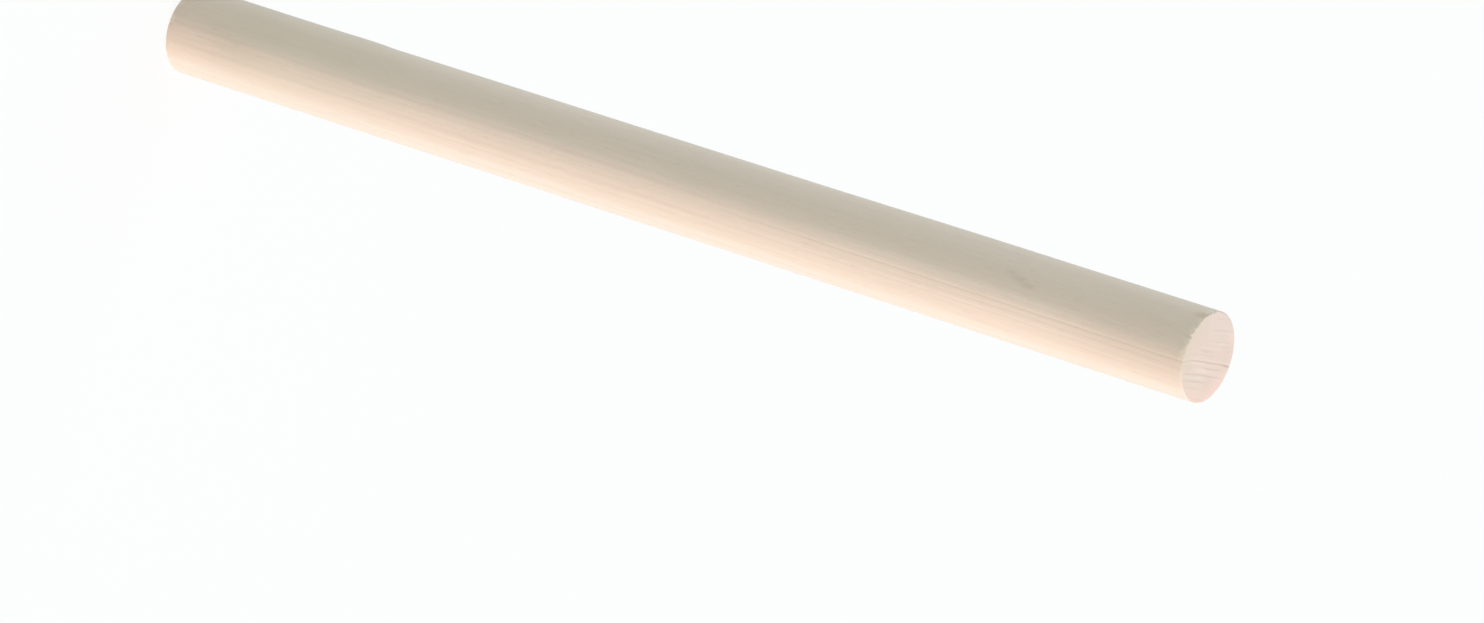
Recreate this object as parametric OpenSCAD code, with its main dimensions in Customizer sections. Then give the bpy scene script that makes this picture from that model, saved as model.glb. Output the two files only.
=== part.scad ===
// Plain round dowel rod: one piece of machined hardwood, sawn square at both ends.
// Stands on one sawn end, with its axis along +Z and the origin at the centre of that end.

/* [Rod] */
// Diameter of the rod, nominal 7/8 in
rod_d = 22.2; // [6:0.1:50]
// Length over both sawn ends, nominal 12 in
rod_length = 304.8; // [60:0.1:1200]

/* [Ends] */
// Radius of the light sanding that breaks each sawn edge
edge_break_r = 0.2; // [0.1:0.05:1.5]
// Facets across each quarter-round edge break
edge_break_steps = 6; // [2:1:12]

/* [Colour] */
// Colour of the bare, unfinished wood
wood_colour = "burlywood"; // [burlywood, wheat, tan]

/* [Hidden] */
$fn = 128;
rod_r = rod_d / 2;

// Quarter-round corner as points, from start_angle through 90 degrees about the corner's own centre.
function quarter_round(centre, start_angle) = [
    for (i = [0 : edge_break_steps])
        let (angle = start_angle + 90 * i / edge_break_steps)
            centre + edge_break_r * [cos(angle), sin(angle)]
];

// Half of the rod's lengthwise section, from the axis out to the barrel and back.
function rod_section() = concat(
    [[0, 0]],
    quarter_round([rod_r - edge_break_r, edge_break_r], -90),
    quarter_round([rod_r - edge_break_r, rod_length - edge_break_r], 0),
    [[0, rod_length]]
);

// The whole rod: a straight barrel between two flat sawn ends with broken edges.
module dowel_rod() {
    color(wood_colour)
        rotate_extrude()
            polygon(rod_section());
}

dowel_rod();
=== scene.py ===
"""Looks of the wooden dowel rod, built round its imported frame, in metres.

The rod stands on its sawn foot with its axis along +Z. Its wood is one solid pattern: growth rings round a
pith that lies outside the rod, rays that run out from the pith, and pores and fibres along the grain.
"""
import math
from collections import namedtuple

import bpy
import numpy as np
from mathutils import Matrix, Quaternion, Vector


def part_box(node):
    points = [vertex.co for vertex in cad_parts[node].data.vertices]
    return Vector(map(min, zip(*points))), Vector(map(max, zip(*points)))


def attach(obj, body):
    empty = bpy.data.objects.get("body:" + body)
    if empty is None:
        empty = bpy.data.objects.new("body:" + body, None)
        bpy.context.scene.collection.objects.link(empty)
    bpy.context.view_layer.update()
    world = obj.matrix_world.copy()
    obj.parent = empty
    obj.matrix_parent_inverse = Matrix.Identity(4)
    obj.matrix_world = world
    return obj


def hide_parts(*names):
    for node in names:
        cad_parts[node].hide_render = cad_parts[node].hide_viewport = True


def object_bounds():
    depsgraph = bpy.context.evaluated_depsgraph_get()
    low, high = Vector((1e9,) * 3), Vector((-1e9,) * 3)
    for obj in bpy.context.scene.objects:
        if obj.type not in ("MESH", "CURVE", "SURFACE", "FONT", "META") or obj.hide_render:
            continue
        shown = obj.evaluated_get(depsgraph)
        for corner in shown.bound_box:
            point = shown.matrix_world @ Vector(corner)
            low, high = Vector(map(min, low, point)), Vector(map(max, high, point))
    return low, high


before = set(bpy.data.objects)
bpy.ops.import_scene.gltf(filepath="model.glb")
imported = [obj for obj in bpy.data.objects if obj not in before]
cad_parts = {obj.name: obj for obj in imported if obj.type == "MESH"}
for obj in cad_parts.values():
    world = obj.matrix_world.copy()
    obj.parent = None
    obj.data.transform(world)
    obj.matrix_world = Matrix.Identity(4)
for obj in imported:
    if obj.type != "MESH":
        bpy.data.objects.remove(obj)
cad_low, cad_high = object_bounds()
rod_low, rod_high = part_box("dowel_rod")

MM = 0.001

# The rod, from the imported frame.
ROD_LENGTH = rod_high.z - rod_low.z
ROD_RADIUS = min(-rod_low.x, rod_high.x, -rod_low.y, rod_high.y)
LENGTH_IN_MM = ROD_LENGTH / MM
RADIUS_IN_MM = ROD_RADIUS / MM

# How finely the mesh is divided. The last ring of points but one on an end lies close to its edge.
STEPS_ROUND = 448
STEPS_ALONG = 140
RINGS_ON_END = 22
CLOSE_TO_EDGE = 0.985
STEPS_ON_EDGE = 5

# The mesh's flat map, in shares of its side. The barrel lies above the two ends, which lie side by side, and
# the middle of the top is so many of its own radii from the margin.
MAP_MARGIN = 0.006
MAP_BARREL_FOOT = 0.275
MAP_END_RADIUS = 0.126
MAP_TOP_PLACE = 3.1

# Directions across the rod, in degrees anticlockwise from +X. The saw's feed lies somewhere between two. Out
# means away from the pith, towards the bark, and aside means square to that, towards -Y.
BARK_SIDE = -175.0
SEAM_SIDE = 90.0
SMUDGE_SIDE = -109.5
SAW_FEED = (20, 40)

# The broken edge of each end. It reaches further down the barrel towards +Y and -Y than towards +X and -X.
# Within it the sawn wood gives way to the barrel's, so many millimetres from the end.
EDGE_RADIUS = 0.20 * MM
EDGE_UNEVENNESS = 0.05 * MM
LEAST_EDGE = 0.4 * EDGE_RADIUS
EDGE_DOWN_BARREL = 3.5
SAWN_WITHIN = (0.15 * EDGE_RADIUS / MM, 0.9 * EDGE_RADIUS / MM)

# Chips in that edge: small ones all round, and larger ones where the saw tore the top. A chip fades away
# slowly on the side that tore and quickly on the other, in radians round the edge.
Chips = namedtuple("Chips", "count depth first_side last_side")
SMALL_CHIPS = Chips(14, 0.18 * MM, -180.0, 180.0)
TORN_CHIPS = Chips(9, 0.50 * MM, -165.0, -95.0)
CHIP_SIZES = (0.45, 1.0)
CHIP_PLACES = (0.1, 0.9)
TORN_RUN = (0.07, 0.12)
CLEAN_RUN = (0.02, 0.035)
CHIP_STRETCH = 2.0

# The growth rings, one a line. The pith lies outside the rod, and the grain leans, so that lower down the
# rings lie nearer the bark.
#   edge: where the year ends at the top, in millimetres from the rod's axis towards the bark
#   foot_dark, top_dark: how dark its line is near the barrel's foot and near its top
#   foot_pale, top_pale: how pale the wood just past the line is there
#   end_dark: how dark the line is on the sawn ends, where only a stretch of it is dark
#   middle, half: the middle and half-length of that stretch, in millimetres aside
PITH_DISTANCE = 200.0
GRAIN_SLOPE = 0.0056
Ring = namedtuple("Ring", "edge foot_dark top_dark foot_pale top_pale end_dark middle half")
RINGS = (
    Ring(-13.0, 0.40, 0.30, 0.20, 0.20, 0.20, 0.0, 9.0),
    Ring(-10.2, 0.30, 0.20, 0.05, 0.15, 0.15, 0.0, 9.0),
    Ring(-7.65, 0.10, 0.12, 0.10, 0.15, 0.25, 5.0, 5.0),
    Ring(-5.98, 0.12, 0.16, 0.35, 0.20, 0.50, 6.0, 7.0),
    Ring(-4.33, 0.34, 0.25, 0.00, 0.70, 0.55, 2.0, 10.0),
    Ring(-2.66, 0.06, 0.42, 0.30, 0.30, 0.25, -3.0, 4.0),
    Ring(-1.24, 0.03, 0.88, 0.45, 0.92, 0.90, 0.0, 14.0),
    Ring(0.38, 0.26, 0.20, 0.00, 0.35, 0.15, 2.0, 5.0),
    Ring(2.40, 0.03, 0.30, 0.03, 0.15, 0.20, -3.0, 5.5),
    Ring(3.68, 0.03, 0.08, 0.03, 0.08, 0.24, -4.5, 4.5),
    Ring(6.42, 0.10, 0.10, 0.10, 0.10, 0.42, -4.0, 5.5),
    Ring(9.20, 0.10, 0.10, 0.10, 0.10, 0.15, -3.0, 5.0),
    Ring(11.6, 0.20, 0.20, 0.20, 0.20, 0.15, 0.0, 9.0),
    Ring(14.2, 0.20, 0.20, 0.20, 0.20, 0.15, 0.0, 9.0),
)

# The strongest line's place in that table.
MAIN_RING = 6

# How the rings stray from true circles, in millimetres. They wander a little everywhere, slowly and quickly.
# They bend towards the bark from one place aside to the other, by less on the pith's side of the main ring
# than on the bark's side. Towards -Y they dip to the pith. Lower on the barrel they lie still nearer the
# bark, except for those nearest the pith.
SLOW_WANDER = (-0.5, 0.5)
QUICK_WANDER = (-0.14, 0.14)
BEND_ASIDE = (3.0, -9.0)
BEND_OUT = (0.0, 2.5)
BEND = (0.25, 0.70)
DIP_ASIDE = (7.5, 10.8)
DIP = 0.56
SHIFT = 0.45
SHIFT_UP = (0.60 * LENGTH_IN_MM, 0.42 * LENGTH_IN_MM)
SHIFT_OUT = (-6.1, -4.4)

# Curves across a ring, each through stops of millimetres past its edge and height: the line of latewood where
# it is sharp and where it is soft, and the paler wood past the line and before it. All fade out before midway
# to the next ring, as shares of the way there.
RING_REACH = 1.5
RING_FADE = (0.30, 0.48)
SHARP_LINE = ((-0.42, 0), (-0.28, 0.30), (-0.15, 1), (-0.04, 1), (0.04, 0))
SOFT_LINE = ((-0.75, 0), (-0.25, 1), (0.0, 1), (0.50, 0))
PALE_PAST_LINE = ((0.05, 0), (0.52, 1), (0.85, 0.75), (1.35, 0))
PALE_BEFORE_LINE = ((-1.2, 0), (-0.75, 1), (-0.5, 0.6), (-0.42, 0))

# Where the barrel's lines turn from those of its foot, which are soft, to those of its top, which are sharp.
# Every line but the main ring's is patchy, and from one place aside to the other all grow stronger.
LINES_CHANGE = (0.53 * LENGTH_IN_MM, 0.66 * LENGTH_IN_MM)
PATCHY = (0.45, 1.15)
STRONGER_ASIDE = (3.0, -6.0)
STRONGER_BY = 2.2

# On the sawn ends the dark stretch of a line fades out from before its end to past it, in millimetres. Lines
# are strong at one place aside and weaker at the other, and the wood beside them is paler.
STRETCH_FADE = (-2.0, 1.5)
SAWN_LINE_ASIDE = (3.0, 10.0)
SAWN_LINE_STRENGTH = (0.40, 0.19)
PALE_PAST_STRENGTH = 0.35
PALE_BEFORE_STRENGTH = 0.40

# Short bands that follow the rings on the sawn ends, in millimetres. They fade out at so many half-lengths.
Band = namedtuple("Band", "out aside half_thickness half_length strength")
BAND_FADE = 1.6
PALE_BANDS = (
    Band(2.05, -1.5, 0.35, 5.5, 0.7),
    Band(3.10, -4.0, 0.30, 3.5, 0.7),
    Band(-1.90, 3.0, 0.28, 6.0, 0.6),
    Band(-3.45, 0.5, 0.42, 4.5, 1.0),
    Band(-5.25, 3.0, 0.35, 4.5, 0.9),
    Band(-6.70, 4.0, 0.35, 4.0, 0.4),
    Band(-8.20, 6.0, 0.35, 3.0, 0.4),
)
DARK_BANDS = (
    Band(-1.45, -9.2, 0.36, 2.0, 0.6),
    Band(1.15, 2.0, 0.30, 3.0, 0.3),
    Band(-2.75, -3.0, 0.25, 4.0, 0.3),
)

# The hollow along the barrel's bark side, with its places in shares of the length. It begins sharply and
# fades out further up. Below it the barrel lies in a little too, except at a low hump and close to the foot.
HOLLOW_DEPTH = 0.18 * MM
HOLLOW_FOOT = 0.191
HOLLOW_ONSET = 0.0015
HOLLOW_FADE = (0.58, 0.82)
HUMP_HEIGHT = 0.09 * MM
HUMP_PLACE = 0.168
HUMP_HALF_LENGTH = 0.020
FOOT_HALF_LENGTH = 0.08

# Relief of the sanded barrel and of the sawn ends: how far the denser latewood stands proud, and the saw's
# marks, which waver from an even spacing by some radians.
SANDED_INSET = 0.02 * MM
BARREL_LATEWOOD = 0.012 * MM
END_LATEWOOD = 0.014 * MM
SAW_DEPTH = 0.012 * MM
SAW_PITCH = 1.3 * MM
SAW_WAVER = 2.0
SAW_WAVER_LENGTH = 3.1 * MM

# Noises in the wood: how many of its features fit in a millimetre out, aside and along the grain, its detail
# and roughness, and the range of it that shows.
MIDDLE_OF_NOISE = (0.3, 0.7)
Noise = namedtuple("Noise", "packing detail roughness shown", defaults=(0.5, MIDDLE_OF_NOISE))
SLOW_NOISE = Noise((0.07, 0.07, 0.006), 1.0)
QUICK_NOISE = Noise((0.4, 0.4, 0.02), 2.0)
PATCHES = Noise((0.10, 0.14, 0.012), 2.0)
DRIFT = Noise((0.16, 0.16, 0.010), 3.0)
STREAKS = Noise((1.3, 1.3, 0.042), 4.0, 0.6)
FIBRES = Noise((6.0, 6.0, 0.14), 3.0, 0.65, (0.35, 0.75))
PORES = Noise((8.5, 8.5, 0.30), 1.0, 0.5, (0.62, 0.74))
RAYS = Noise((0.40, 9.0, 1.5), 1.0, 0.5, (0.58, 0.72))
FLECKS = Noise((1.6, 2.2, 0.30), 1.0, 0.5, (0.68, 0.80))
MOTTLE = Noise((1.3, 1.3, 0.8), 2.0, 0.5, (0.25, 0.60))

# Noises on its surface, packed along X, Y and Z: the ragged rim beside a cut, and the saw's tooth marks.
RAGGED = Noise((0.55, 0.55, 0.08), 3.0, 0.6, (0.35, 0.65))
TOOTH = Noise((0.5, 3.2, 1.0), 3.0, 0.7)

# The smudge on the barrel and the specks round it. Each spot has its place beside the smudge's, up the grain
# and round the rod, and its half-lengths in those directions. It fades out at so many of them.
SMUDGE_HEIGHT = 0.842 * ROD_LENGTH
SMUDGE_DEPTH = 0.06 * MM
SMUDGE_FADE = 1.8
SMUDGE_MOTTLED = (0.35, 1.0)
Spot = namedtuple("Spot", "up around half_length half_width strength")
SMUDGE_SPOTS = (
    Spot(-2.8 * MM, -1.15 * MM, 1.5 * MM, 0.55 * MM, 0.9),
    Spot(-0.4 * MM, -0.20 * MM, 2.2 * MM, 0.85 * MM, 0.9),
    Spot(3.1 * MM, 0.85 * MM, 1.9 * MM, 0.60 * MM, 1.0),
    Spot(-8.9 * MM, -0.31 * MM, 1.2 * MM, 0.35 * MM, 0.5),
    Spot(-12.6 * MM, -3.4 * MM, 2.2 * MM, 0.45 * MM, 0.4),
    Spot(-1.7 * MM, -4.4 * MM, 1.4 * MM, 0.35 * MM, 0.25),
    Spot(1.8 * MM, -3.3 * MM, 1.4 * MM, 0.35 * MM, 0.3),
)

# Colours of the wood, as 0 to 255 screen values. Slow drifts run between the two of a pair.
BARREL_WOOD = ((221.5, 203.5, 184), (217.5, 199.5, 180))
# The warm colour and the pale one are for the side nearest the pith, which faces the key lamp. They are
# partly the wood's tone and partly painted light.
WARM_WOOD_AND_LIT_GLOW = (229.5, 205.5, 186.5)
PALE_LIT_SIDE_WOOD = (229, 212, 196)
SAWN_WOOD = ((240, 213, 197), (236, 209, 193))

# Tints laid over those colours in turn, each with its greatest strength.
BARREL_TINTS = {
    "streak": (0.21, (212, 191, 167)),
    "pale past line": (0.30, (242, 228, 210)),
    "line": (0.26, (176, 146, 120)),
    "fibre": (0.12, (186, 162, 136)),
    "pore": (0.14, (160, 134, 108)),
    "ray": (0.05, (176, 146, 116)),
    "fleck": (0.14, (168, 138, 110)),
    "smudge": (0.22, (150, 136, 118)),
    # Painted shade: a darker, olive tone over the barrel's lowest fourth.
    "lowest quarter shade": (0.20, (199, 191, 164)),
    "near an end": (0.155, (176, 150, 126)),
    "pale rim": (0.38, (242, 226, 204)),
    "singe": (0.40, (190, 150, 126)),
}
SAWN_TINTS = {
    "bark side": (0.6, (236, 213, 200)),
    # Partly painted light: a warm pink glow towards the lamp-lit pith side and along one rim.
    "pinker_and_glow": (1.0, (251, 215, 199)),
    "yellower rim": (0.75, (231, 211, 189)),
    "beside line": (1.0, (246, 230, 214)),
    "pale bands": (0.50, (248, 232, 216)),
    "dark bands": (0.50, (190, 140, 124)),
    "line": (1.0, (178, 144, 134)),
    "pore": (0.16, (178, 150, 138)),
    "ray": (0.20, (244, 226, 211)),
}

# The finish. Latewood is smoother than the rest and sawn wood rougher.
ROUGHNESS = (0.56, 0.66)
LATEWOOD_SMOOTHER = 0.08
SAWN_ROUGHER = 0.16
GLOSS = 0.4
SHEEN = 0.3
SHEEN_ROUGHNESS = 0.4

# Fine relief in the finish, in shares of its height. The cutter left faint rings that come and go with a
# drift, and the saw left tooth marks.
RELIEF_STRENGTH = 0.5
RELIEF_HEIGHT = 0.05 * MM
FIBRE_RELIEF = 0.4
PORE_RELIEF = 0.5
LATEWOOD_RELIEF = 0.30
TOOTH_RELIEF = 0.9
CUTTER_RELIEF = (0.0, 0.06)
CUTTER_DRIFT = (0.4, 0.7)
CUTTER_PITCH_IN_MM = 1.7

# The studio.
WHITE = (1.0, 1.0, 1.0, 1.0)
FLOOR_REACH = 40 * ROD_LENGTH
FLOOR_COLOUR = (0.94, 0.92, 0.90, 1.0)
FLOOR_GLOW = 0.8
ROOM_TINT = (0.86, 0.995, 1.05, 1.0)
ROOM_LEVEL = 0.63
KEY_TINT = (1.10, 1.0, 0.95)
FILL_TINT = (0.8, 1.0, 1.15)

# The camera, placed round the rod. It aims at a point some way up the rod and to its side.
LENS = 200.0
SENSOR = 36.0
CAMERA_ELEVATION = 32.32
CAMERA_ROLL = 108.29
CAMERA_DISTANCE = 6.452 * ROD_LENGTH
AIM_HEIGHT = 0.5911 * ROD_LENGTH
AIM_BESIDE = 1.0698 * 2 * ROD_RADIUS
NEAREST_SEEN = 0.1 * ROD_LENGTH
FARTHEST_SEEN = 200 * ROD_LENGTH


def linear(red, green, blue):
    """A colour given as 0 to 255 screen values, as the linear RGBA that a shader takes."""
    shares = (value / 255 for value in (red, green, blue))
    return (*(s / 12.92 if s <= 0.04045 else ((s + 0.055) / 1.055) ** 2.4 for s in shares), 1.0)


def across(degrees):
    """The unit vector across the rod in a direction given in degrees from +X."""
    return Vector((math.cos(math.radians(degrees)), math.sin(math.radians(degrees)), 0.0))


def turn_from(theta, degrees):
    """How far round the rod angles lie from a direction given in degrees, as radians from -pi to pi."""
    return np.angle(np.exp(1j * (theta - math.radians(degrees))))


# ---------------------------------------------------------------- the rod's mesh


def ripple(theta, z, amplitude, rounds, wavelength, count, seed):
    """Smooth unevenness over the barrel, the sum of a few waves round it and along it."""
    rng = np.random.default_rng(seed)
    total = np.zeros(np.broadcast(theta, z).shape)
    for _ in range(count):
        turns = rng.integers(rounds[0], rounds[1] + 1)
        along = rng.uniform(-1, 1) * 2 * math.pi / wavelength
        total += np.cos(turns * theta + along * z + rng.uniform(0, 2 * math.pi))
    return amplitude * total / math.sqrt(count)


def ring_distance(x, y, z):
    """Distance in millimetres from the rod's axis to a point, measured out from the pith."""
    bark = across(BARK_SIDE)
    out = (x * bark.x + y * bark.y) / MM - GRAIN_SLOPE * (ROD_LENGTH - z) / MM
    aside = (y * bark.x - x * bark.y) / MM
    return np.hypot(PITH_DISTANCE + out, aside) - PITH_DISTANCE


def raised_latewood(distance):
    """How far the dense latewood stands proud, from 0 to 1, at distances out from the pith."""
    edges = np.array([ring.edge for ring in RINGS])
    year = np.clip(np.searchsorted(edges, distance) - 1, 0, len(edges) - 2)
    share = (distance - edges[year]) / (edges[year + 1] - edges[year])
    return np.clip(share, 0, 1) ** 4


def smudge_share(theta, z):
    """How deep a point lies in the smudged dents, from 0 to 1."""
    up, around = z - SMUDGE_HEIGHT, turn_from(theta, SMUDGE_SIDE) * ROD_RADIUS
    depths = []
    for spot in SMUDGE_SPOTS:
        lengthwise = (up - spot.up) / spot.half_length
        sideways = (around - spot.around) / spot.half_width
        depths.append(spot.strength * np.exp(-(lengthwise**2) - sideways**2))
    return np.maximum.reduce(depths)


def bark_side_inset(z):
    """How far the barrel's bark side lies in from the round, by its hollow and below that."""
    share = z / ROD_LENGTH
    begun = 1 / (1 + np.exp(-(share - HOLLOW_FOOT) / HOLLOW_ONSET))
    faded = np.clip((share - HOLLOW_FADE[0]) / (HOLLOW_FADE[1] - HOLLOW_FADE[0]), 0, 1)
    hollow = HOLLOW_DEPTH * begun * (1 - faded**2 * (3 - 2 * faded))
    in_hump = np.exp(-(((share - HUMP_PLACE) / HUMP_HALF_LENGTH) ** 2))
    at_foot = np.exp(-((share / FOOT_HALF_LENGTH) ** 2))
    return hollow + HUMP_HEIGHT * (1 - begun) * (1 - np.clip(in_hump + at_foot, 0, 1))


def barrel_radius(theta, z):
    """The barrel's radius: inside the nominal round by its unevenness, grain, hollow and dents."""
    facing_bark = np.clip(np.cos(theta - math.radians(BARK_SIDE)), 0, 1) ** 2
    distance = ring_distance(ROD_RADIUS * np.cos(theta), ROD_RADIUS * np.sin(theta), z)
    inset = SANDED_INSET
    inset = inset + ripple(theta, z, 0.010 * MM, rounds=(0, 3), wavelength=0.09, count=9, seed=11)
    inset = inset + ripple(theta, z, 0.004 * MM, rounds=(9, 40), wavelength=0.05, count=24, seed=12)
    inset = inset - BARREL_LATEWOOD * raised_latewood(distance)
    inset = inset + facing_bark * bark_side_inset(z)
    inset = inset + SMUDGE_DEPTH * smudge_share(theta, z)
    return ROD_RADIUS - np.clip(inset, 0, None)


def edge_reach(theta, seed, torn):
    """How far the broken edge reaches in across the end and down the barrel, round one end."""
    rng = np.random.default_rng(seed)
    uneven = ripple(theta, 0.0, EDGE_UNEVENNESS, rounds=(2, 26), wavelength=1.0, count=16, seed=seed)
    sanded = np.clip(EDGE_RADIUS + uneven, LEAST_EDGE, None)
    chipped = np.zeros(theta.shape)
    for chips in (SMALL_CHIPS, TORN_CHIPS) if torn else (SMALL_CHIPS,):
        for index in range(chips.count):
            place = index + rng.uniform(*CHIP_PLACES)
            side = chips.first_side + (chips.last_side - chips.first_side) * place / chips.count
            turn = turn_from(theta, side)
            torn_run = rng.uniform(*TORN_RUN)
            clean_run = rng.uniform(*CLEAN_RUN)
            run = np.where(turn > 0, torn_run, clean_run)
            depth = rng.uniform(*CHIP_SIZES) * chips.depth
            chipped = chipped + depth * np.clip(1 - np.abs(turn) / run, 0, 1)
    down_barrel = 1 + (EDGE_DOWN_BARREL - 1) * np.sin(theta) ** 2
    return sanded + chipped, down_barrel * sanded + CHIP_STRETCH * chipped


def saw_relief(x, y, z, seed):
    """How far a point on a sawn end lies below its highest plane: saw marks and proud latewood."""
    rng = np.random.default_rng(seed)
    feed = across(rng.uniform(*SAW_FEED))
    along_feed = x * feed.x + y * feed.y
    waver = SAW_WAVER * np.sin(along_feed / SAW_WAVER_LENGTH)
    marks = 0.5 + 0.5 * np.cos(2 * math.pi * along_feed / SAW_PITCH + waver)
    late = raised_latewood(ring_distance(x, y, z))
    return SAW_DEPTH * marks + END_LATEWOOD * (1 - late)


def end_rows(theta, z_plane, inward, seed):
    """Rings of points from the middle of one end out to its edge and round that on to the barrel."""
    across_end, down_barrel = edge_reach(theta, seed, torn=inward < 0)
    outer = barrel_radius(theta, z_plane + inward * EDGE_RADIUS)
    rows = []
    for share in (*(ring / RINGS_ON_END for ring in range(1, RINGS_ON_END)), CLOSE_TO_EDGE, 1.0):
        radius = share * (outer - across_end)
        x, y = radius * np.cos(theta), radius * np.sin(theta)
        rows.append((x, y, z_plane + inward * saw_relief(x, y, z_plane, seed)))
    relief = inward * (rows[-1][2] - z_plane)
    for turn in np.linspace(0, math.pi / 2, STEPS_ON_EDGE + 1)[1:]:
        radius = outer - across_end * (1 - math.sin(turn))
        z = z_plane + inward * (down_barrel * (1 - math.cos(turn)) + relief * math.cos(turn))
        rows.append((radius * np.cos(theta), radius * np.sin(theta), z))
    return rows


def rod_rows():
    """The rod's rings of points from the middle of the foot to the middle of the top, as x, y, z arrays."""
    theta = math.radians(SEAM_SIDE) + 2 * math.pi * np.arange(STEPS_ROUND) / STEPS_ROUND
    foot = end_rows(theta, rod_low.z, inward=1, seed=3)
    top = end_rows(theta, rod_high.z, inward=-1, seed=4)
    foot_z, top_z = foot[-1][2], top[-1][2]
    barrel = []
    for step in range(1, STEPS_ALONG):
        z = foot_z + (top_z - foot_z) * step / STEPS_ALONG
        radius = barrel_radius(theta, z)
        barrel.append((radius * np.cos(theta), radius * np.sin(theta), z))
    return [*foot, *barrel, *reversed(top)]


def rod_mesh():
    """One closed mesh of the rod, with a map that gives the barrel and both ends their own places."""
    rows = rod_rows()
    end_count = RINGS_ON_END + 1 + STEPS_ON_EDGE
    middles = [(0.0, 0.0, float(rows[0][2].mean())), (0.0, 0.0, float(rows[-1][2].mean()))]
    points = np.concatenate([np.stack(row, axis=1) for row in rows])
    foot_point, top_point = len(points), len(points) + 1
    faces = []
    for row in range(len(rows) - 1):
        here, above = row * STEPS_ROUND, (row + 1) * STEPS_ROUND
        for step in range(STEPS_ROUND):
            following = (step + 1) % STEPS_ROUND
            faces.append((here + step, here + following, above + following, above + step))
    last = (len(rows) - 1) * STEPS_ROUND
    for step in range(STEPS_ROUND):
        following = (step + 1) % STEPS_ROUND
        faces.append((foot_point, following, step))
        faces.append((top_point, last + step, last + following))
    mesh = bpy.data.meshes.new("dowel_rod_wood")
    mesh.from_pydata(np.concatenate([points, middles]).tolist(), [], faces)
    mesh.polygons.foreach_set("use_smooth", [True] * len(faces))
    place_on_map(mesh, rows, end_count)
    mesh.update()
    return mesh


def walked_out(rows):
    """How far each ring of points on one end lies from its middle, walked over the surface."""
    radii = np.array([np.hypot(x, y).mean() for x, y, _ in rows])
    heights = np.array([z.mean() for _, _, z in rows])
    walked = np.hypot(np.diff(radii), np.diff(heights)).cumsum()
    return np.concatenate([radii[:1], radii[0] + walked])


def place_on_map(mesh, rows, end_count):
    """Lays the barrel out flat above the two ends, with more room across the grain than along it."""
    row_count = len(rows)
    first_barrel, last_barrel = end_count - 1, row_count - end_count
    foot_walk, top_walk = walked_out(rows[:end_count]), walked_out(rows[: -end_count - 1 : -1])
    reach = max(foot_walk[-1], top_walk[-1])
    middle_height = MAP_MARGIN + MAP_END_RADIUS
    foot_middle = MAP_MARGIN + MAP_END_RADIUS
    top_middle = MAP_MARGIN + MAP_END_RADIUS * MAP_TOP_PLACE
    layer = mesh.uv_layers.new(name="OFBake")
    loop_points = np.empty(len(mesh.loops), int)
    mesh.loops.foreach_get("vertex_index", loop_points)
    spots = np.zeros((len(mesh.loops), 2))
    for polygon in mesh.polygons:
        loops = range(polygon.loop_start, polygon.loop_start + polygon.loop_total)
        indices = loop_points[polygon.loop_start : polygon.loop_start + polygon.loop_total]
        placed = [divmod(int(index), STEPS_ROUND) for index in indices]
        lower = min(row for row, _ in placed)
        wraps = any(step == STEPS_ROUND - 1 for _, step in placed)
        for loop, index, (row, step) in zip(loops, indices, placed):
            if index >= row_count * STEPS_ROUND:
                on_top = index > row_count * STEPS_ROUND
                spots[loop] = (top_middle if on_top else foot_middle, middle_height)
            elif polygon.loop_total == 4 and first_barrel <= lower < last_barrel:
                turn = (STEPS_ROUND if wraps and step == 0 else step) / STEPS_ROUND
                height = (row - first_barrel) / (last_barrel - first_barrel)
                spots[loop] = (
                    MAP_MARGIN + turn * (1 - 2 * MAP_MARGIN),
                    MAP_BARREL_FOOT + height * (1 - MAP_MARGIN - MAP_BARREL_FOOT),
                )
            else:
                on_top = row > row_count // 2
                walk = top_walk[row_count - 1 - row] if on_top else foot_walk[row]
                angle = 2 * math.pi * step / STEPS_ROUND * (1 if on_top else -1)
                share = MAP_END_RADIUS * walk / reach
                spots[loop] = (
                    (top_middle if on_top else foot_middle) + share * math.cos(angle),
                    middle_height + share * math.sin(angle),
                )
    layer.data.foreach_set("uv", spots.ravel())


# ---------------------------------------------------------------- the wood


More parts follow.
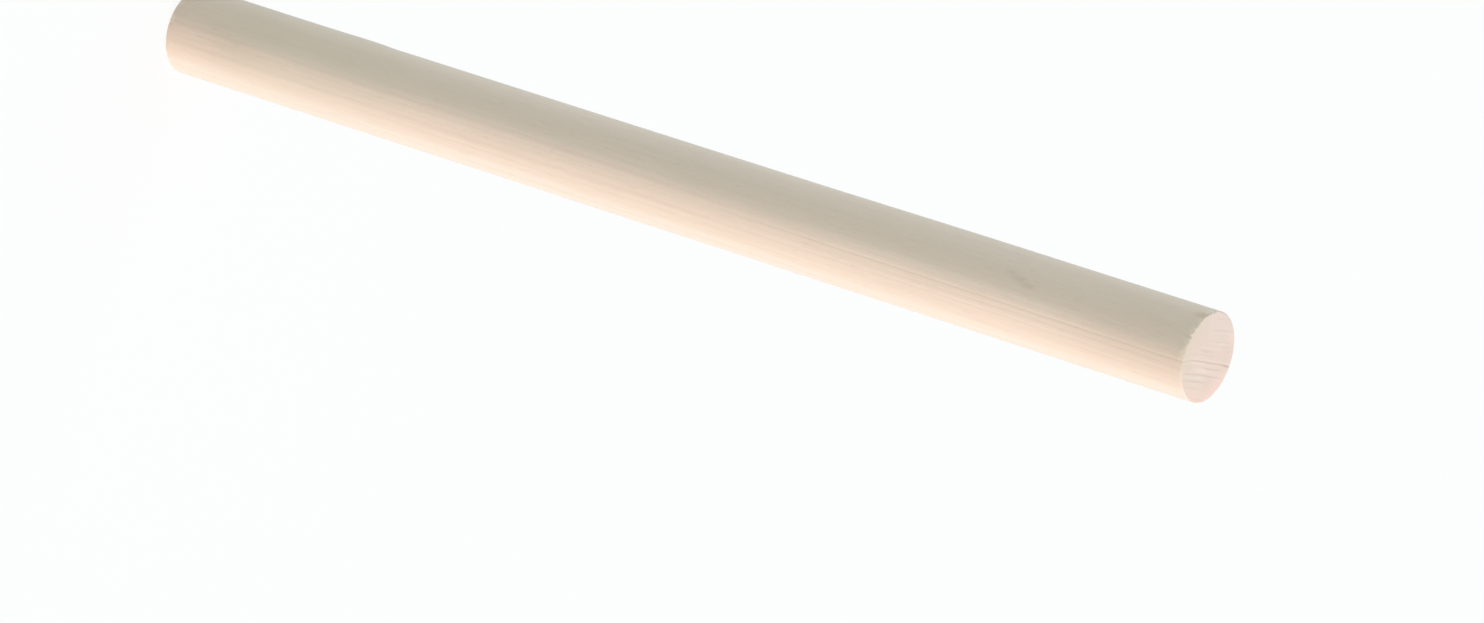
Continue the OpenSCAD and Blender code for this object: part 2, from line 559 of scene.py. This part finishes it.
class Nodes:
    """Adds shader nodes to one tree. A value is a socket, a number or a tuple. A call returns a socket."""

    def __init__(self, tree):
        self.tree = tree

    def add(self, kind, **settings):
        node = self.tree.nodes.new(kind)
        for name, value in settings.items():
            setattr(node, name, value)
        return node

    def feed(self, value, socket):
        if isinstance(value, bpy.types.NodeSocket):
            self.tree.links.new(value, socket)
        else:
            socket.default_value = value

    def math(self, operation, *values):
        node = self.add("ShaderNodeMath", operation=operation)
        for value, socket in zip(values, node.inputs):
            self.feed(value, socket)
        return node.outputs[0]

    def product(self, result, *others):
        for value in others:
            result = self.math("MULTIPLY", result, value)
        return result

    def vector(self, operation, *values):
        node = self.add("ShaderNodeVectorMath", operation=operation)
        for value, socket in zip(values, node.inputs):
            self.feed(value, socket)
        return node.outputs["Value" if operation in ("DOT_PRODUCT", "LENGTH") else "Vector"]

    def combine(self, x, y, z):
        node = self.add("ShaderNodeCombineXYZ")
        for value, socket in zip((x, y, z), node.inputs):
            self.feed(value, socket)
        return node.outputs[0]

    def noise(self, place, detail, roughness):
        node = self.add("ShaderNodeTexNoise", noise_dimensions="3D")
        self.feed(place, node.inputs["Vector"])
        node.inputs["Scale"].default_value = 1.0
        node.inputs["Detail"].default_value = detail
        node.inputs["Roughness"].default_value = roughness
        return node.outputs[0]

    def remap(self, value, low, high, to_low=0.0, to_high=1.0, smooth=True):
        kind = "SMOOTHSTEP" if smooth else "LINEAR"
        node = self.add("ShaderNodeMapRange", interpolation_type=kind)
        for number, socket in zip((value, low, high, to_low, to_high), node.inputs):
            self.feed(number, socket)
        return node.outputs[0]

    def blend(self, share, first, second, kind="RGBA"):
        node = self.add("ShaderNodeMix", data_type=kind)
        sockets = [socket for socket in node.inputs if socket.enabled]
        for value, socket in zip((share, first, second), sockets):
            self.feed(value, socket)
        return next(socket for socket in node.outputs if socket.enabled)

    def blend_number(self, share, first, second):
        return self.blend(share, first, second, kind="FLOAT")

    def tinted(self, colour, tints, shares):
        """A colour under a table of tints, each wherever its share of the same name says."""
        for name, (strength, tint) in tints.items():
            colour = self.blend(self.product(shares[name], strength), colour, linear(*tint))
        return colour

    def profile(self, value, stops):
        """A curve through (place, height) stops, both from 0 to 1."""
        node = self.add("ShaderNodeFloatCurve")
        curve = node.mapping.curves[0]
        while len(curve.points) < len(stops):
            curve.points.new(0.5, 0.5)
        for point, stop in zip(curve.points, stops):
            point.location = stop
            point.handle_type = "VECTOR"
        node.mapping.update()
        self.feed(value, node.inputs["Value"])
        return node.outputs[0]


class Wood:
    """The solid pattern of the wood: sockets with each point's place in it, in millimetres, and its parts."""

    def __init__(self, nodes):
        self.nodes = nodes
        place = nodes.add("ShaderNodeTexCoord").outputs["Object"]
        self.place = nodes.vector("SCALE", place)
        self.place.node.inputs["Scale"].default_value = 1 / MM
        parts = nodes.add("ShaderNodeSeparateXYZ")
        nodes.feed(self.place, parts.inputs[0])
        self.height = parts.outputs["Z"]
        self.find_ends()
        self.find_directions()
        self.find_rings()
        self.find_lines()
        self.find_grain()

    def find_ends(self):
        """How near the closer end is, and where the surface is sawn: 1 on the ends, 0 on the barrel."""
        nodes = self.nodes
        self.below_top = nodes.math("SUBTRACT", LENGTH_IN_MM, self.height)
        self.from_end = nodes.math("MINIMUM", self.height, self.below_top)
        self.end = nodes.remap(self.from_end, *SAWN_WITHIN, 1.0, 0.0)

    def find_directions(self):
        """Out from the pith, round it, and along the grain."""
        nodes, bark = self.nodes, across(BARK_SIDE)
        lean = nodes.math("MULTIPLY", self.below_top, GRAIN_SLOPE)
        straight = nodes.vector("DOT_PRODUCT", self.place, tuple(bark))
        self.aside = nodes.vector("DOT_PRODUCT", self.place, (-bark.y, bark.x, 0.0))
        from_pith = nodes.math("ADD", nodes.math("SUBTRACT", straight, lean), PITH_DISTANCE)
        reach = nodes.vector("LENGTH", nodes.combine(from_pith, self.aside, 0.0))
        self.out = nodes.math("SUBTRACT", reach, PITH_DISTANCE)
        self.grain = nodes.combine(self.out, self.aside, self.height)

    def noise(self, kind, place=None):
        """One of the noises, laid along the grain or on another place."""
        packed = self.nodes.vector("MULTIPLY", self.grain if place is None else place, kind.packing)
        return self.nodes.noise(packed, kind.detail, kind.roughness)

    def find_rings(self):
        """The ring each point is nearest to, how far past its edge it lies, and 0 midway to the next."""
        nodes = self.nodes
        slow = nodes.remap(self.noise(SLOW_NOISE), 0.0, 1.0, *SLOW_WANDER, smooth=False)
        quick = nodes.remap(self.noise(QUICK_NOISE), 0.0, 1.0, *QUICK_WANDER, smooth=False)
        bend = nodes.product(
            nodes.remap(self.aside, *BEND_ASIDE, smooth=False),
            nodes.remap(self.out, *BEND_OUT, *BEND),
        )
        dip = nodes.remap(self.aside, *DIP_ASIDE, 0.0, DIP)
        shift = nodes.product(
            nodes.remap(self.height, *SHIFT_UP, 0.0, SHIFT),
            nodes.remap(self.out, *SHIFT_OUT),
        )
        stray = nodes.math("ADD", nodes.math("SUBTRACT", bend, dip), shift)
        wandering = nodes.math("ADD", self.out, nodes.math("ADD", slow, quick))
        self.distance = nodes.math("SUBTRACT", wandering, stray)
        edges = [ring.edge for ring in RINGS]
        years = len(RINGS) - 1
        share = nodes.remap(self.distance, edges[0], edges[-1], smooth=False)
        stops = [((edge - edges[0]) / (edges[-1] - edges[0]), i / years) for i, edge in enumerate(edges)]
        count = nodes.math("ADD", nodes.math("MULTIPLY", nodes.profile(share, stops), years), 0.5)
        self.ring = nodes.math("FLOOR", count)
        self.which = nodes.math("DIVIDE", self.ring, years)
        self.past_edge = nodes.math("SUBTRACT", self.distance, self.of_ring("edge"))
        off_edge = nodes.math("ABSOLUTE", nodes.math("SUBTRACT", nodes.math("FRACT", count), 0.5))
        self.short_of_midway = nodes.remap(off_edge, *RING_FADE, 1.0, 0.0)

    def of_ring(self, name):
        """One column of the table of rings, for the ring that each point is nearest to."""
        values = [getattr(ring, name) for ring in RINGS]
        low, high = min(values), max(values)
        stops = [(i / (len(values) - 1), (value - low) / (high - low)) for i, value in enumerate(values)]
        return self.nodes.remap(self.nodes.profile(self.which, stops), 0, 1, low, high, smooth=False)

    def across_ring(self, stops):
        """A curve through (millimetres past the ring's edge, height) stops, faded out midway to the next."""
        nodes = self.nodes
        stops = ((-RING_REACH, 0), *stops, (RING_REACH, 0))
        share = nodes.remap(self.past_edge, -RING_REACH, RING_REACH, smooth=False)
        curve = nodes.profile(share, [((place / RING_REACH + 1) / 2, height) for place, height in stops])
        return nodes.product(curve, self.short_of_midway)

    def find_lines(self):
        """Each year's thin dark line of latewood, and how pale the wood past it is."""
        nodes = self.nodes
        patchy = nodes.remap(self.noise(PATCHES), *PATCHES.shown, *PATCHY)
        on_main_ring = nodes.math("COMPARE", self.ring, float(MAIN_RING), 0.1)
        patchy = nodes.blend_number(on_main_ring, patchy, 1.0)
        patchy = nodes.product(patchy, nodes.remap(self.aside, *STRONGER_ASIDE, 1.0, STRONGER_BY))
        up_barrel = nodes.remap(self.height, *LINES_CHANGE)
        dark = nodes.blend_number(up_barrel, self.of_ring("foot_dark"), self.of_ring("top_dark"))
        pale = nodes.blend_number(up_barrel, self.of_ring("foot_pale"), self.of_ring("top_pale"))
        dark = nodes.product(dark, patchy)
        pale = nodes.product(pale, patchy)
        beyond = nodes.math("ABSOLUTE", nodes.math("SUBTRACT", self.aside, self.of_ring("middle")))
        beyond = nodes.math("SUBTRACT", beyond, self.of_ring("half"))
        self.end_dark = nodes.product(self.of_ring("end_dark"), nodes.remap(beyond, *STRETCH_FADE, 1.0, 0.0))
        low_down = nodes.math("SUBTRACT", 1.0, up_barrel)
        on_barrel = nodes.math("SUBTRACT", 1.0, self.end)
        softer = nodes.product(low_down, on_barrel)
        line = nodes.blend_number(softer, self.across_ring(SHARP_LINE), self.across_ring(SOFT_LINE))
        self.line = nodes.product(line, nodes.blend_number(self.end, dark, self.end_dark))
        self.past_line = self.across_ring(PALE_PAST_LINE)
        self.before_line = self.across_ring(PALE_BEFORE_LINE)
        self.pale_past_line = nodes.product(self.past_line, pale)

    def find_grain(self):
        """Slow drifts, long soft streaks, fine fibres, pores, rays and flecks."""
        nodes = self.nodes
        self.drift = self.noise(DRIFT)
        self.drifting = nodes.remap(self.drift, *DRIFT.shown)
        self.streak = nodes.remap(self.noise(STREAKS), *STREAKS.shown)
        self.fibre = self.noise(FIBRES)
        self.pore = nodes.remap(self.noise(PORES), *PORES.shown)
        self.ray = nodes.remap(self.noise(RAYS), *RAYS.shown)
        self.fleck = nodes.remap(self.noise(FLECKS), *FLECKS.shown)

    def bands(self, table):
        """How deep each point lies in any of the short bands of a table, from 0 to 1."""
        nodes, deepest = self.nodes, 0.0
        for band in table:
            across_rings = nodes.math("SUBTRACT", self.distance, band.out)
            across_rings = nodes.math("DIVIDE", across_rings, band.half_thickness)
            along_rings = nodes.math("SUBTRACT", self.aside, band.aside)
            along_rings = nodes.math("DIVIDE", along_rings, band.half_length)
            away = nodes.vector("LENGTH", nodes.combine(across_rings, along_rings, 0.0))
            deepest = nodes.math("MAXIMUM", deepest, nodes.remap(away, 0.0, BAND_FADE, band.strength, 0.0))
        return deepest


def smudge(nodes, wood):
    """The smudge near the top and the specks round it."""
    deepest = 0.0
    for spot in SMUDGE_SPOTS:
        middle = across(SMUDGE_SIDE + math.degrees(spot.around / ROD_RADIUS)) * RADIUS_IN_MM
        middle.z = (SMUDGE_HEIGHT + spot.up) / MM
        away = nodes.vector("SUBTRACT", wood.place, tuple(middle))
        shape = (MM / spot.half_width, MM / spot.half_width, MM / spot.half_length)
        away = nodes.vector("LENGTH", nodes.vector("MULTIPLY", away, shape))
        deepest = nodes.math("MAXIMUM", deepest, nodes.remap(away, 0.0, SMUDGE_FADE, spot.strength, 0.0))
    mottled = nodes.remap(wood.noise(MOTTLE), *MOTTLE.shown, *SMUDGE_MOTTLED)
    return nodes.product(deepest, mottled)


def shade_on_lowest_quarter(nodes, wood):
    """Painted shade: the barrel is drawn darker and more olive over its lowest fourth above the foot, and
    less so on the side nearest the pith, which the key lamp lights.
    """
    low_down = nodes.remap(wood.height, 0.27 * LENGTH_IN_MM, 0.16 * LENGTH_IN_MM)
    above_foot = nodes.remap(wood.height, 8.0, 24.0)
    off_pith_side = nodes.remap(wood.out, -8.5, -3.5, 0.25, 1.0)
    return nodes.product(low_down, above_foot, off_pith_side)


def near_an_end(nodes, wood):
    """The barrel's last few centimetres before each end, strongest along its middle."""
    close = nodes.remap(wood.from_end, 42.0, 12.0)
    off_bark_side = nodes.remap(wood.out, 6.0, -1.0, 0.4, 1.0)
    off_pith_side = nodes.remap(wood.out, -9.0, -4.0, 0.1, 1.0)
    return nodes.product(close, off_bark_side, off_pith_side)


def pale_rim(nodes, wood):
    """The ragged rims that the saw left on the barrel beside each cut, strongest on the bark side."""
    width = nodes.remap(wood.noise(RAGGED, wood.place), *RAGGED.shown, 0.1, 1.3)
    within = nodes.remap(nodes.math("SUBTRACT", wood.from_end, width), -0.4, 0.9, 1.0, 0.0)
    on_bark_side = nodes.remap(wood.out, -3.0, 2.0, 0.2, 1.0)
    return nodes.product(within, on_bark_side)


def singe(nodes, wood):
    """A short singed stretch of each rim, near the bark side."""
    close = nodes.remap(wood.from_end, 1.0, 4.5, 1.0, 0.0)
    past_one_side = nodes.remap(wood.out, 8.5, 9.1)
    before_other_side = nodes.remap(wood.out, 10.2, 9.6)
    towards_minus_y = nodes.remap(wood.aside, 0.5, 3.0)
    return nodes.product(close, past_one_side, before_other_side, towards_minus_y)


def barrel_colour(nodes, wood):
    """Wood cut along the grain, drawn warmer from the main ring towards the pith and paler again nearest the
    pith. That side faces the key lamp, so the change is partly the wood's tone and partly painted warm light.
    """
    warm_lit_share = nodes.remap(wood.out, 2.2, -1.4)
    nearest_pith_pale_lit = nodes.remap(wood.out, -6.5, -10.5)
    colour = nodes.blend(wood.drifting, *(linear(*shade) for shade in BARREL_WOOD))
    # Partly painted light: warmer and paler towards the lamp-lit pith side.
    colour = nodes.blend(warm_lit_share, colour, linear(*WARM_WOOD_AND_LIT_GLOW))
    colour = nodes.blend(nearest_pith_pale_lit, colour, linear(*PALE_LIT_SIDE_WOOD))
    shares = {
        "streak": wood.streak,
        "pale past line": wood.pale_past_line,
        "line": wood.line,
        "fibre": nodes.remap(wood.fibre, *FIBRES.shown),
        "pore": wood.pore,
        "ray": wood.ray,
        "fleck": wood.fleck,
        "smudge": smudge(nodes, wood),
        "lowest quarter shade": shade_on_lowest_quarter(nodes, wood),
        "near an end": near_an_end(nodes, wood),
        "pale rim": pale_rim(nodes, wood),
        "singe": singe(nodes, wood),
    }
    return nodes.tinted(colour, BARREL_TINTS, shares)


def pinker_and_glow(nodes, wood):
    """Where sawn wood is drawn more pink: towards the pith, along the rim towards +Y, and between the two.
    This is partly the end grain's own tint and partly a painted warm glow of over-bright light near the side
    that faces the key lamp.
    """
    towards_plus_y = nodes.remap(wood.aside, -5.0, -9.0, 0.0, 0.9)
    off_bark_side = nodes.remap(wood.out, 8.0, 6.5)
    off_pith_side = nodes.remap(wood.out, 3.0, 5.0, 0.1, 1.0)
    glow_along_rim = nodes.product(towards_plus_y, off_bark_side, off_pith_side)
    glow_near_pith = nodes.remap(wood.out, -5.5, -10.5, 0.0, 0.8)
    slantwise = nodes.vector("DOT_PRODUCT", wood.grain, (-0.80, -0.60, 0.0))
    between = nodes.remap(slantwise, 5.5, 10.5)
    return nodes.math("MAXIMUM", nodes.math("MAXIMUM", glow_along_rim, glow_near_pith), between)


def yellower_rim(nodes, wood):
    """The rim of a sawn end towards -Y, less near the pith."""
    from_axis = nodes.vector("LENGTH", nodes.combine(wood.out, wood.aside, 0.0))
    near_rim = nodes.remap(from_axis, RADIUS_IN_MM - 5.0, RADIUS_IN_MM - 0.6)
    towards_minus_y = nodes.remap(wood.aside, 2.0, 8.0)
    off_pith_side = nodes.remap(wood.out, -8.0, -3.0, 0.2, 1.0)
    return nodes.product(near_rim, towards_minus_y, off_pith_side)


def sawn_colour(nodes, wood):
    """Wood cut across the grain: its lines lie between paler wood on both sides, and fade towards -Y."""
    colour = nodes.blend(wood.drifting, *(linear(*shade) for shade in SAWN_WOOD))
    past = nodes.product(wood.past_line, PALE_PAST_STRENGTH)
    before = nodes.product(wood.before_line, PALE_BEFORE_STRENGTH)
    beside_line = nodes.math("ADD", past, before)
    line_strength = nodes.remap(wood.aside, *SAWN_LINE_ASIDE, *SAWN_LINE_STRENGTH)
    shares = {
        "bark side": nodes.remap(wood.out, 1.0, 9.0),
        "pinker_and_glow": pinker_and_glow(nodes, wood),
        "yellower rim": yellower_rim(nodes, wood),
        "beside line": nodes.product(beside_line, wood.end_dark),
        "pale bands": wood.bands(PALE_BANDS),
        "dark bands": wood.bands(DARK_BANDS),
        "line": nodes.product(wood.line, line_strength),
        "pore": wood.pore,
        "ray": wood.ray,
    }
    return nodes.tinted(colour, SAWN_TINTS, shares)


def roughness(nodes, wood):
    """Dense latewood is smoother, and sawn ends are rougher."""
    rough = nodes.remap(wood.fibre, *MIDDLE_OF_NOISE, *ROUGHNESS)
    rough = nodes.math("SUBTRACT", rough, nodes.product(wood.line, LATEWOOD_SMOOTHER))
    return nodes.math("ADD", rough, nodes.product(wood.end, SAWN_ROUGHER))


def relief(nodes, wood):
    """Open pores and fibres, the cutter's faint rings round the barrel, and the saw's tooth marks."""
    cutter = nodes.math("SINE", nodes.product(wood.height, 2 * math.pi / CUTTER_PITCH_IN_MM))
    cutter = nodes.product(cutter, nodes.remap(wood.drift, *CUTTER_DRIFT, *CUTTER_RELIEF))
    tooth = nodes.product(wood.noise(TOOTH, wood.place), wood.end, TOOTH_RELIEF)
    fibre = nodes.product(wood.fibre, FIBRE_RELIEF)
    pore = nodes.product(wood.pore, PORE_RELIEF)
    height = nodes.math("SUBTRACT", fibre, pore)
    height = nodes.math("ADD", height, nodes.product(wood.line, LATEWOOD_RELIEF))
    height = nodes.math("ADD", height, cutter)
    height = nodes.math("ADD", height, tooth)
    bump = nodes.add("ShaderNodeBump")
    bump.inputs["Strength"].default_value = RELIEF_STRENGTH
    bump.inputs["Distance"].default_value = RELIEF_HEIGHT
    nodes.feed(height, bump.inputs["Height"])
    return bump.outputs["Normal"]


def wood_material():
    """Bare, sanded pale hardwood, with its sawn ends rougher and more pink, partly by a painted warm glow."""
    material = bpy.data.materials.new("bare_wood")
    material.use_nodes = True
    nodes = Nodes(material.node_tree)
    shader = material.node_tree.nodes["Principled BSDF"]
    wood = Wood(nodes)
    colour = nodes.blend(wood.end, barrel_colour(nodes, wood), sawn_colour(nodes, wood))
    nodes.feed(colour, shader.inputs["Base Color"])
    nodes.feed(roughness(nodes, wood), shader.inputs["Roughness"])
    nodes.feed(relief(nodes, wood), shader.inputs["Normal"])
    shader.inputs["Specular IOR Level"].default_value = GLOSS
    shader.inputs["Sheen Weight"].default_value = SHEEN
    shader.inputs["Sheen Roughness"].default_value = SHEEN_ROUGHNESS
    return material


def make_rod():
    rod = bpy.data.objects.new("dowel_rod_wood", rod_mesh())
    bpy.context.collection.objects.link(rod)
    rod.data.materials.append(wood_material())
    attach(rod, "root")
    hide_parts("dowel_rod")


# ---------------------------------------------------------------- the studio


def seen_directly(nodes):
    """1 for rays from the camera, a gloss or clear matter, which see the white studio."""
    path = nodes.add("ShaderNodeLightPath")
    seen = nodes.math("MAXIMUM", path.outputs["Is Camera Ray"], path.outputs["Is Glossy Ray"])
    return nodes.math("MAXIMUM", seen, path.outputs["Is Transmission Ray"])


def mixed(nodes, share, first, second):
    """Two shaders mixed by a share from 0 to 1."""
    mix = nodes.add("ShaderNodeMixShader")
    for value, socket in zip((share, first.outputs[0], second.outputs[0]), mix.inputs):
        nodes.feed(value, socket)
    return mix.outputs[0]


def make_floor():
    """A pale floor that reads as white and keeps a soft part of the rod's shadow."""
    corners = [(-1, -1), (1, -1), (1, 1), (-1, 1)]
    mesh = bpy.data.meshes.new("floor")
    mesh.from_pydata([(x * FLOOR_REACH, y * FLOOR_REACH, cad_low.z) for x, y in corners], [], [(0, 1, 2, 3)])
    floor = bpy.data.objects.new("floor", mesh)
    bpy.context.collection.objects.link(floor)
    material = bpy.data.materials.new("floor_white")
    material.use_nodes = True
    material.node_tree.nodes.clear()
    nodes = Nodes(material.node_tree)
    diffuse = nodes.add("ShaderNodeBsdfDiffuse")
    diffuse.inputs["Color"].default_value = FLOOR_COLOUR
    glow = nodes.add("ShaderNodeEmission")
    glow.inputs["Color"].default_value = WHITE
    output = nodes.add("ShaderNodeOutputMaterial")
    share = nodes.product(seen_directly(nodes), FLOOR_GLOW)
    nodes.feed(mixed(nodes, share, diffuse, glow), output.inputs["Surface"])
    mesh.materials.append(material)


def make_world():
    """A pale, slightly cool room that lights the rod, behind a white backdrop."""
    world = bpy.data.worlds.new("studio")
    world.use_nodes = True
    bpy.context.scene.world = world
    world.node_tree.nodes.clear()
    nodes = Nodes(world.node_tree)
    room = nodes.add("ShaderNodeBackground")
    room.inputs["Color"].default_value = ROOM_TINT
    room.inputs["Strength"].default_value = ROOM_LEVEL
    backdrop = nodes.add("ShaderNodeBackground")
    backdrop.inputs["Color"].default_value = WHITE
    output = nodes.add("ShaderNodeOutputWorld")
    nodes.feed(mixed(nodes, seen_directly(nodes), room, backdrop), output.inputs["Surface"])


def make_lamp(name, side, elevation, spread, level, tint):
    """A broad soft lamp. A level of 1 lights a white surface that faces it to white."""
    light = bpy.data.lights.new(name, "SUN")
    light.angle = math.radians(spread)
    light.energy = level * math.pi
    light.color = tint
    lamp = bpy.data.objects.new(name, light)
    bpy.context.collection.objects.link(lamp)
    rise = math.radians(elevation)
    towards = across(side) * math.cos(rise) + Vector((0, 0, math.sin(rise)))
    lamp.rotation_mode = "QUATERNION"
    lamp.rotation_quaternion = towards.to_track_quat("Z", "Y")


def make_camera():
    data = bpy.data.cameras.new("camera")
    data.lens = LENS
    data.sensor_width = SENSOR
    data.clip_start = NEAREST_SEEN
    data.clip_end = FARTHEST_SEEN
    camera = bpy.data.objects.new("camera", data)
    bpy.context.collection.objects.link(camera)
    rise = math.radians(CAMERA_ELEVATION)
    back = Vector((0, -math.cos(rise), math.sin(rise)))
    camera.location = Vector((AIM_BESIDE, 0, AIM_HEIGHT)) + back * CAMERA_DISTANCE
    camera.rotation_mode = "QUATERNION"
    upright = (-back).to_track_quat("-Z", "Y")
    camera.rotation_quaternion = upright @ Quaternion((0, 0, 1), math.radians(CAMERA_ROLL))
    bpy.context.scene.camera = camera


make_camera()
make_floor()
make_world()
make_lamp("key", side=-10.0, elevation=27.0, spread=50.0, level=0.70, tint=KEY_TINT)
make_lamp("fill", side=150.0, elevation=20.0, spread=60.0, level=0.20, tint=FILL_TINT)
make_rod()
bpy.context.scene.view_settings.view_transform = "Standard"
